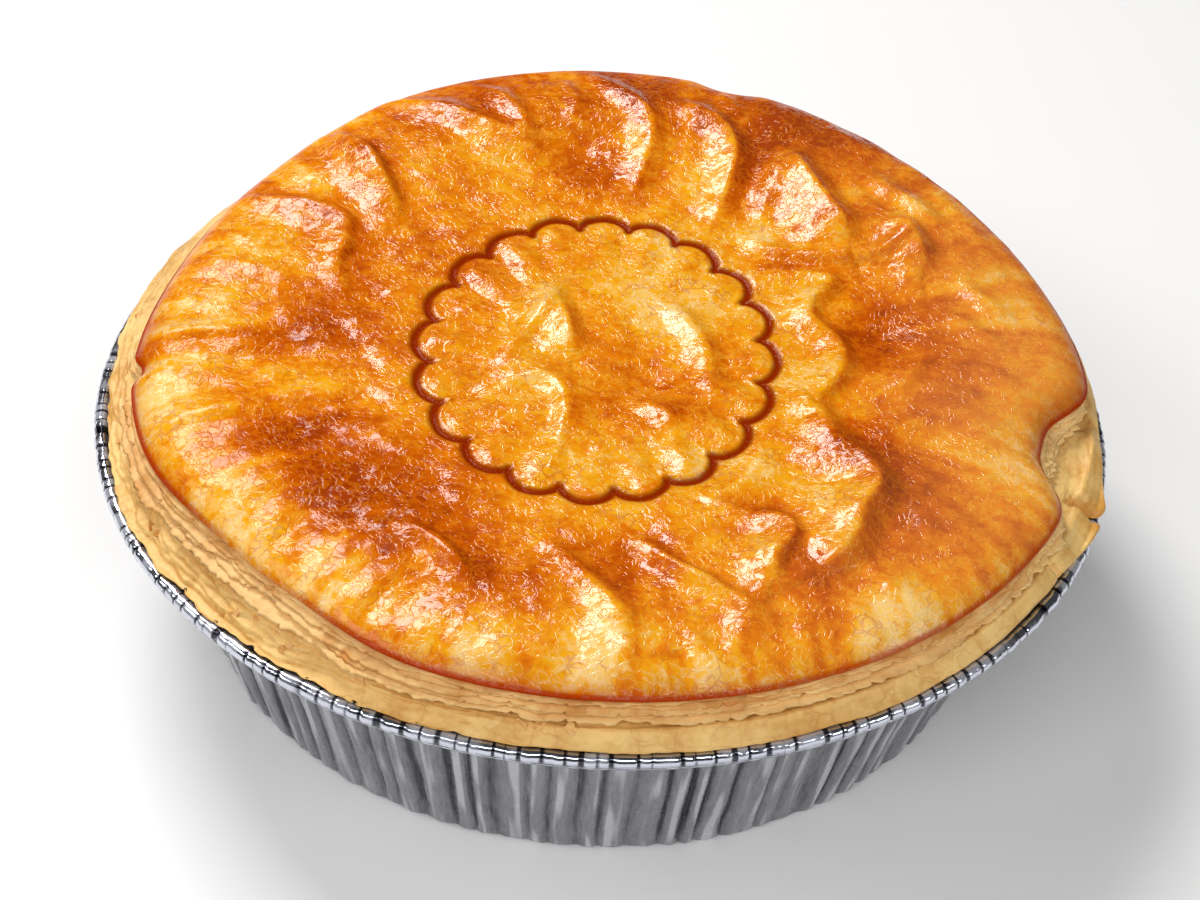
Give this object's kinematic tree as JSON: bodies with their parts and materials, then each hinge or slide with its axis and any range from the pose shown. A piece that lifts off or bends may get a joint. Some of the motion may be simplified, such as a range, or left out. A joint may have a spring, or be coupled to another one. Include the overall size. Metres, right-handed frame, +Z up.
{
  "type": "chicken pie",
  "caption": "Whole baked pie in a round pleated foil dish, with a puffed, glazed pastry lid pressed with a scalloped ring.",
  "frame": {"origin": "centre of the dish on the surface it stands on", "axes": "+Z up, front of the pie towards -Y, X across"},
  "size_m": [0.1534, 0.1504, 0.0536],
  "materials": {
    "foil": "bright pressed foil",
    "base_pastry": "dry baked shortcrust",
    "glazed_pastry": "egg-washed, glossy"
  },
  "bodies": {
    "root": {"foil_dish": "foil", "pastry_base": "base_pastry", "pastry_lid": "glazed_pastry"}
  },
  "joints": []
}
